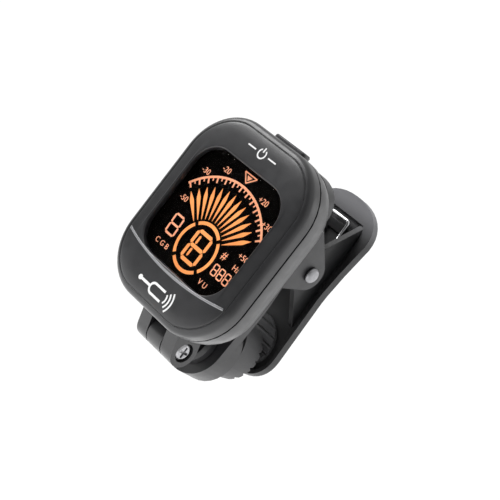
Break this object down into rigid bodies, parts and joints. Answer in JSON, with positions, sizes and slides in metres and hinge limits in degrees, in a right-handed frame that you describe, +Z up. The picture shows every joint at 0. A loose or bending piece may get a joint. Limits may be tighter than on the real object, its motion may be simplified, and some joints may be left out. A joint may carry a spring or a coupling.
{
  "type": "clip-on instrument tuner",
  "caption": "Clip-on tuner: rounded display head on a tilting, swivelling hinge, held by a sprung clip with rubber pads.",
  "frame": {"origin": "centre of the front grip pad's face, where the clip bears on the instrument", "axes": "+X to the tuner's right, +Y backwards away from the display, +Z up"},
  "size_m": [0.0402, 0.0396, 0.0565],
  "materials": {
    "body": "satin black moulded ABS",
    "button": "satin black",
    "trim": "satin silver",
    "window": "smoked gloss",
    "lcd": "black display glass with amber segments",
    "diffuser": "white diffuser",
    "strip": "conductive elastomer",
    "board": "green solder mask",
    "blob": "black epoxy",
    "switch": "tinned steel can",
    "brass": "bright disc",
    "steel": "nickel plated",
    "pin": "bright nickel",
    "wire": "bright spring wire",
    "rubber": "black moulded rubber"
  },
  "bodies": {
    "front_clip": {"front_arm": "body", "front_pad": "rubber", "pivot_pin": "pin", "torsion_spring": "wire"},
    "rear_clip": {"rear_arm": "body", "rear_pad": "rubber"},
    "swivel": {"swivel_base": "body", "swivel_washer": "steel", "swivel_screw": "steel"},
    "head": {"front_shell": "body", "rear_shell": "body", "trim_strip": "trim", "display_window": "window", "lcd_panel": "lcd", "backlight_plate": "diffuser", "lcd_connector_strip": "strip", "circuit_board": "board", "processor_blob": "blob", "tact_switch": "switch", "vibration_sensor": "brass", "battery_cell": "steel", "battery_contact_negative": "steel", "battery_contact_positive": "steel", "case_screw_1": "steel", "case_screw_2": "steel", "case_screw_3": "steel", "case_screw_4": "steel", "hinge_screw": "steel", "hinge_nut": "steel"},
    "button": {"power_button": "button"},
    "cover": {"battery_cover": "body"}
  },
  "joints": [
    {"name": "jaw_hinge", "type": "hinge", "parent": "front_clip", "child": "rear_clip", "pos_m": [0, -0.0067, 0.025], "axis": [1, 0, 0], "range_deg": [0, 26], "stiffness_Nm_per_rad": 0.3, "springref_deg": -22.92, "deforming": ["torsion_spring"]},
    {"name": "head_swivel", "type": "hinge", "parent": "front_clip", "child": "swivel", "pos_m": [0, -0.0114, -0.002], "axis": [0, 1, 0], "continuous": true},
    {"name": "head_tilt", "type": "hinge", "parent": "swivel", "child": "head", "pos_m": [0, -0.0224, -0.0054], "axis": [1, 0, 0], "range_deg": [0, 120]},
    {"name": "button_press", "type": "slide", "parent": "head", "child": "button", "axis": [0, 0, -1], "range_m": [0, 0.0006], "stiffness_N_per_m": 900, "springref_m": -0.0004},
    {"name": "cover_turn", "type": "hinge", "parent": "head", "child": "cover", "pos_m": [0, -0.0207, 0.0244], "axis": [0, 1, 0], "range_deg": [0, 40]}
  ]
}
